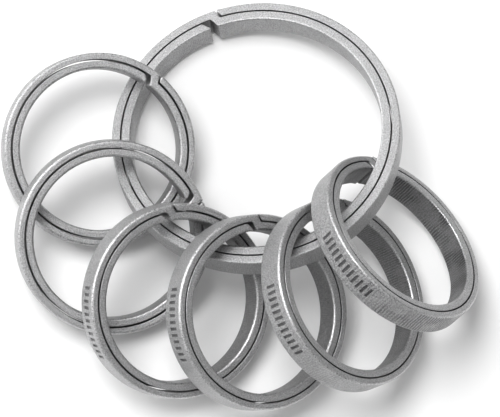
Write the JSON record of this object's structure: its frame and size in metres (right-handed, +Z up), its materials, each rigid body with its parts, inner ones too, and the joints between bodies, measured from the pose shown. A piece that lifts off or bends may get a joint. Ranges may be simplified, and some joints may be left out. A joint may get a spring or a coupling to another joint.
{
  "type": "split key ring",
  "caption": "Large flat-wound metal split key ring carrying smaller split key rings, each sprung open to take a key.",
  "frame": {"origin": "centre of the base of the bounding box, on the table that the rings lie on", "axes": "+Z up from the table; +X along the row of small rings, to a viewer's right; +Y away from that viewer, from the small rings towards the large ring's far side"},
  "size_m": [0.0494, 0.044, 0.016],
  "materials": {
    "blasted_titanium": "fine bead-blasted grey titanium with tumbled bright edges"
  },
  "bodies": {
    "large_ring": {"large_ring_coil": "blasted_titanium"},
    "large_ring_end": {"large_ring_free_end": "blasted_titanium"},
    "small_ring_1": {"small_ring_1_coil": "blasted_titanium"},
    "small_ring_1_end": {"small_ring_1_free_end": "blasted_titanium"},
    "small_ring_2": {"small_ring_2_coil": "blasted_titanium"},
    "small_ring_2_end": {"small_ring_2_free_end": "blasted_titanium"},
    "small_ring_3": {"small_ring_3_coil": "blasted_titanium"},
    "small_ring_3_end": {"small_ring_3_free_end": "blasted_titanium"},
    "small_ring_4": {"small_ring_4_coil": "blasted_titanium"},
    "small_ring_4_end": {"small_ring_4_free_end": "blasted_titanium"},
    "small_ring_5": {"small_ring_5_coil": "blasted_titanium"},
    "small_ring_5_end": {"small_ring_5_free_end": "blasted_titanium"},
    "small_ring_6": {"small_ring_6_coil": "blasted_titanium"},
    "small_ring_6_end": {"small_ring_6_free_end": "blasted_titanium"}
  },
  "joints": [
    {"name": "large_ring_opening", "type": "hinge", "parent": "large_ring", "child": "large_ring_end", "pos_m": [0.01546, 0.01166, 0.00672], "axis": [0.9421, 0.3192, 0.1032], "range_deg": [0, 11.5], "stiffness_Nm_per_rad": 0.18},
    {"name": "small_ring_1_turn", "type": "hinge", "parent": "large_ring", "child": "small_ring_1", "pos_m": [-0.01465, 0.00571, 0.004], "axis": [0.1296, -0.2337, 0.9636], "continuous": true},
    {"name": "small_ring_1_opening", "type": "hinge", "parent": "small_ring_1", "child": "small_ring_1_end", "pos_m": [-0.01662, 0.01393, 0.00626], "axis": [0.2249, -0.9396, -0.2581], "range_deg": [0, 25.6], "stiffness_Nm_per_rad": 0.16},
    {"name": "small_ring_2_turn", "type": "hinge", "parent": "large_ring", "child": "small_ring_2", "pos_m": [-0.01315, -0.00369, 0.00455], "axis": [0.1298, -0.2986, 0.9455], "continuous": true},
    {"name": "small_ring_2_opening", "type": "hinge", "parent": "small_ring_2", "child": "small_ring_2_end", "pos_m": [-0.01089, 0.00446, 0.00681], "axis": [-0.2592, -0.9307, -0.2583], "range_deg": [0, 25.6], "stiffness_Nm_per_rad": 0.16},
    {"name": "small_ring_3_turn", "type": "hinge", "parent": "large_ring", "child": "small_ring_3", "pos_m": [-0.00655, -0.01059, 0.00586], "axis": [0.3587, -0.2654, 0.8949], "continuous": true},
    {"name": "small_ring_3_opening", "type": "hinge", "parent": "small_ring_3", "child": "small_ring_3_end", "pos_m": [-0.01355, -0.00702, 0.00973], "axis": [0.7994, -0.4077, -0.4413], "range_deg": [0, 25.6], "stiffness_Nm_per_rad": 0.16},
    {"name": "small_ring_4_turn", "type": "hinge", "parent": "large_ring", "child": "small_ring_4", "pos_m": [0.00165, -0.01189, 0.00665], "axis": [0.4512, -0.1553, 0.8788], "continuous": true},
    {"name": "small_ring_4_opening", "type": "hinge", "parent": "small_ring_4", "child": "small_ring_4_end", "pos_m": [-0.00488, -0.00772, 0.01073], "axis": [0.7451, -0.4764, -0.4667], "range_deg": [0, 25.6], "stiffness_Nm_per_rad": 0.16},
    {"name": "small_ring_5_turn", "type": "hinge", "parent": "large_ring", "child": "small_ring_5", "pos_m": [0.01045, -0.01009, 0.00743], "axis": [0.5955, 0.1266, 0.7934], "continuous": true},
    {"name": "small_ring_5_opening", "type": "hinge", "parent": "small_ring_5", "child": "small_ring_5_end", "pos_m": [0.01612, -0.00426, 0.00224], "axis": [-0.5876, -0.6049, 0.5375], "range_deg": [0, 21.5], "stiffness_Nm_per_rad": 0.16},
    {"name": "small_ring_6_turn", "type": "hinge", "parent": "large_ring", "child": "small_ring_6", "pos_m": [0.01575, -0.00479, 0.00817], "axis": [0.562, 0.4083, 0.7193], "continuous": true},
    {"name": "small_ring_6_opening", "type": "hinge", "parent": "small_ring_6", "child": "small_ring_6_end", "pos_m": [0.01994, 0.00094, 0.00164], "axis": [-0.4348, -0.594, 0.6769], "range_deg": [0, 21.5], "stiffness_Nm_per_rad": 0.16}
  ]
}
